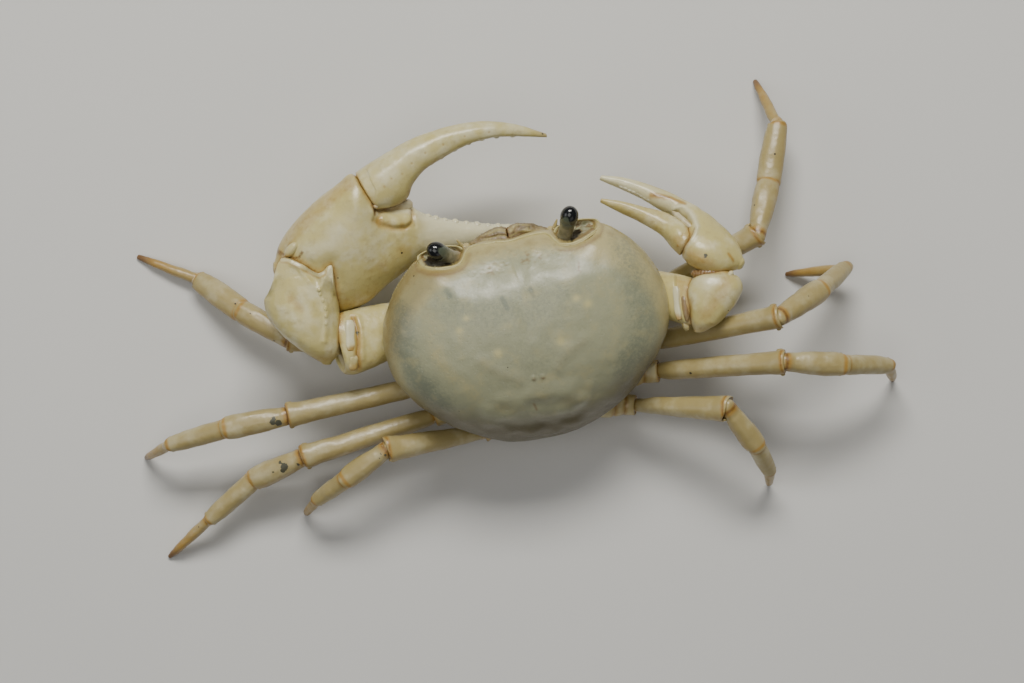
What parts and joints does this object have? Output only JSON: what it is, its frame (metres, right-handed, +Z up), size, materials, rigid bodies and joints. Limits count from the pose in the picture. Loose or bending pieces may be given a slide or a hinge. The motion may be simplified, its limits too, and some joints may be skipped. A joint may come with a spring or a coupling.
{
  "type": "freshwater crab (geothelphusa ancylophallus), life-size display model",
  "caption": "Cream-white freshwater crab standing on its toes, with one large and one small claw, short eyestalks and smooth domed shell, as a still life-size model.",
  "frame": {"origin": "middle of the bounding box's bottom face, on the floor that the toes stand on", "axes": "+X to the crab's right, +Y forward past its eyes, +Z up"},
  "size_m": [0.0814, 0.0442, 0.0181],
  "materials": {
    "shell": "smooth cream-white shell, grey-green over the middle, satin gloss",
    "underside": "paler cream, satin",
    "claw": "smooth cream, satin gloss, paler finger tips",
    "leg": "yellowish cream, satin, amber at the joints and horn-brown toe tips",
    "membrane": "amber-brown, soft",
    "eyestalk": "translucent grey-green, glossy",
    "cornea": "wet glossy black"
  },
  "bodies": {
    "root": {"carapace": "shell", "thorax": "underside", "pleon": "underside", "maxilliped_left": "underside", "maxilliped_right": "underside", "antennule_left": "membrane", "antennule_right": "membrane", "antenna_left": "membrane", "antenna_right": "membrane", "eyestalk_left": "eyestalk", "eyestalk_right": "eyestalk", "cornea_left": "cornea", "cornea_right": "cornea", "cheliped_left_merus": "claw", "cheliped_left_carpus": "claw", "cheliped_left_propodus": "claw", "cheliped_left_dactylus": "claw", "cheliped_right_merus": "claw", "cheliped_right_carpus": "claw", "cheliped_right_propodus": "claw", "cheliped_right_dactylus": "claw", "leg_left_2_merus": "leg", "leg_left_2_carpus": "leg", "leg_left_2_propodus": "leg", "leg_left_2_dactylus": "leg", "leg_left_3_merus": "leg", "leg_left_3_carpus": "leg", "leg_left_3_propodus": "leg", "leg_left_3_dactylus": "leg", "leg_left_4_merus": "leg", "leg_left_4_carpus": "leg", "leg_left_4_propodus": "leg", "leg_left_4_dactylus": "leg", "leg_left_5_merus": "leg", "leg_left_5_carpus": "leg", "leg_left_5_propodus": "leg", "leg_left_5_dactylus": "leg", "leg_right_2_merus": "leg", "leg_right_2_carpus": "leg", "leg_right_2_propodus": "leg", "leg_right_2_dactylus": "leg", "leg_right_3_merus": "leg", "leg_right_3_carpus": "leg", "leg_right_3_propodus": "leg", "leg_right_3_dactylus": "leg", "leg_right_4_merus": "leg", "leg_right_4_carpus": "leg", "leg_right_4_propodus": "leg", "leg_right_4_dactylus": "leg", "leg_right_5_merus": "leg", "leg_right_5_carpus": "leg", "leg_right_5_propodus": "leg", "leg_right_5_dactylus": "leg"}
  },
  "joints": []
}
